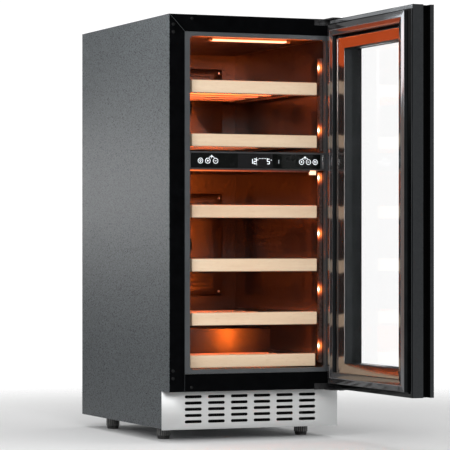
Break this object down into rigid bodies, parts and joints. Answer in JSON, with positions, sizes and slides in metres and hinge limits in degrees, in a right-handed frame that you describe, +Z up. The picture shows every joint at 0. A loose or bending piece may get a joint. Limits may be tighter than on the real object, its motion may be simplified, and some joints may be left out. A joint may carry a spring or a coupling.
{
  "type": "wine cooler",
  "caption": "Slim under-counter wine cooler with two zones, wooden-fronted pull-out shelves, a touch panel between them and a framed glass door that swings on a side hinge.",
  "frame": {"origin": "middle of the footprint on the floor, with the door open at a right angle", "axes": "+Z up, -Y towards the front of the cabinet, +X towards the hinge side"},
  "size_m": [0.3828, 0.908, 0.843],
  "materials": {
    "side_paint": "textured dark grey powder coat",
    "black_paint": "satin black paint",
    "trim_grey": "satin grey",
    "stainless": "brushed along its length",
    "zinc_sheet": "galvanised sheet",
    "liner_plastic": "semi-gloss black",
    "beech": "light beech, oiled",
    "shelf_steel": "black painted steel",
    "hinge_steel": "black painted steel",
    "glass": "tinted clear",
    "panel_glass": "gloss black",
    "frame_paint": "anodised dark grey",
    "inner_frame": "semi-gloss black",
    "rubber": "matte",
    "gasket": "ribbed, slightly glossy",
    "lens": "clear over amber LEDs",
    "foam": "rigid foam",
    "compressor_black": "gloss black paint",
    "fin_aluminium": "bare fins",
    "dark_plastic": "moulded",
    "pin_steel": "bright zinc"
  },
  "bodies": {
    "cabinet": {"cabinet_left_side": "side_paint", "cabinet_right_side": "side_paint", "cabinet_top": "side_paint", "cabinet_back": "zinc_sheet", "base_pan": "zinc_sheet", "rear_cover": "zinc_sheet", "machine_deck": "zinc_sheet", "power_inlet": "dark_plastic", "rail_left": "black_paint", "rail_right": "black_paint", "rail_top": "black_paint", "rail_bottom": "black_paint", "opening_trim": "trim_grey", "kick_plate": "stainless", "insulation_foam": "foam", "liner_left_wall": "liner_plastic", "liner_right_wall": "liner_plastic", "liner_ceiling": "liner_plastic", "liner_back_wall": "liner_plastic", "liner_floor": "liner_plastic", "zone_divider": "liner_plastic", "control_bar": "dark_plastic", "touch_panel": "panel_glass", "led_channel_upper": "lens", "led_channel_lower": "lens", "ceiling_light": "lens", "upper_air_cover": "liner_plastic", "lower_air_cover": "liner_plastic", "hinge_bracket_top": "hinge_steel", "hinge_bracket_bottom": "hinge_steel", "hinge_pin_top": "pin_steel", "hinge_pin_bottom": "pin_steel", "compressor": "compressor_black", "condenser": "fin_aluminium", "condenser_fan_shroud": "dark_plastic"},
    "door": {"door_frame": "frame_paint", "door_inner_frame": "inner_frame", "door_gasket": "gasket", "door_outer_glass": "glass", "door_inner_glass": "glass", "door_glass_spacer": "frame_paint"},
    "upper_fan": {"upper_air_fan": "dark_plastic"},
    "lower_fan": {"lower_air_fan": "dark_plastic"},
    "condenser_fan": {"condenser_fan_rotor": "dark_plastic"},
    "shelf_1": {"shelf_1_front": "beech", "shelf_1_deck": "shelf_steel"},
    "shelf_2": {"shelf_2_front": "beech", "shelf_2_deck": "shelf_steel"},
    "shelf_3": {"shelf_3_front": "beech", "shelf_3_deck": "shelf_steel"},
    "shelf_4": {"shelf_4_front": "beech", "shelf_4_deck": "shelf_steel"},
    "shelf_5": {"shelf_5_front": "beech", "shelf_5_deck": "shelf_steel"},
    "shelf_6": {"shelf_6_front": "beech", "shelf_6_deck": "shelf_steel"},
    "foot_front_left": {"foot_front_left": "rubber"},
    "foot_front_right": {"foot_front_right": "rubber"},
    "foot_rear_left": {"foot_rear_left": "rubber"},
    "foot_rear_right": {"foot_rear_right": "rubber"}
  },
  "joints": [
    {"name": "door_swing", "type": "hinge", "parent": "cabinet", "child": "door", "pos_m": [0.1656, -0.099, 0.4707], "axis": [0, 0, 1], "range_deg": [-90, 14]},
    {"name": "shelf_1_pull", "type": "slide", "parent": "cabinet", "child": "shelf_1", "axis": [0, -1, 0], "range_m": [0, 0.26]},
    {"name": "shelf_2_pull", "type": "slide", "parent": "cabinet", "child": "shelf_2", "axis": [0, -1, 0], "range_m": [0, 0.26]},
    {"name": "shelf_3_pull", "type": "slide", "parent": "cabinet", "child": "shelf_3", "axis": [0, -1, 0], "range_m": [0, 0.26]},
    {"name": "shelf_4_pull", "type": "slide", "parent": "cabinet", "child": "shelf_4", "axis": [0, -1, 0], "range_m": [0, 0.26]},
    {"name": "shelf_5_pull", "type": "slide", "parent": "cabinet", "child": "shelf_5", "axis": [0, -1, 0], "range_m": [0, 0.26]},
    {"name": "shelf_6_pull", "type": "slide", "parent": "cabinet", "child": "shelf_6", "axis": [0, -1, 0], "range_m": [0, 0.14]},
    {"name": "foot_front_left_height", "type": "slide", "parent": "cabinet", "child": "foot_front_left", "axis": [0, 0, -1], "range_m": [0, 0.02]},
    {"name": "foot_front_right_height", "type": "slide", "parent": "cabinet", "child": "foot_front_right", "axis": [0, 0, -1], "range_m": [0, 0.02]},
    {"name": "foot_rear_left_height", "type": "slide", "parent": "cabinet", "child": "foot_rear_left", "axis": [0, 0, -1], "range_m": [0, 0.02]},
    {"name": "foot_rear_right_height", "type": "slide", "parent": "cabinet", "child": "foot_rear_right", "axis": [0, 0, -1], "range_m": [0, 0.02]},
    {"name": "upper_fan_spin", "type": "hinge", "parent": "cabinet", "child": "upper_fan", "pos_m": [-0.0014, 0.4012, 0.685], "axis": [0, 1, 0], "continuous": true},
    {"name": "lower_fan_spin", "type": "hinge", "parent": "cabinet", "child": "lower_fan", "pos_m": [-0.0014, 0.4012, 0.39], "axis": [0, 1, 0], "continuous": true},
    {"name": "condenser_fan_spin", "type": "hinge", "parent": "cabinet", "child": "condenser_fan", "pos_m": [-0.0014, 0.081, 0.0675], "axis": [0, 1, 0], "continuous": true}
  ]
}
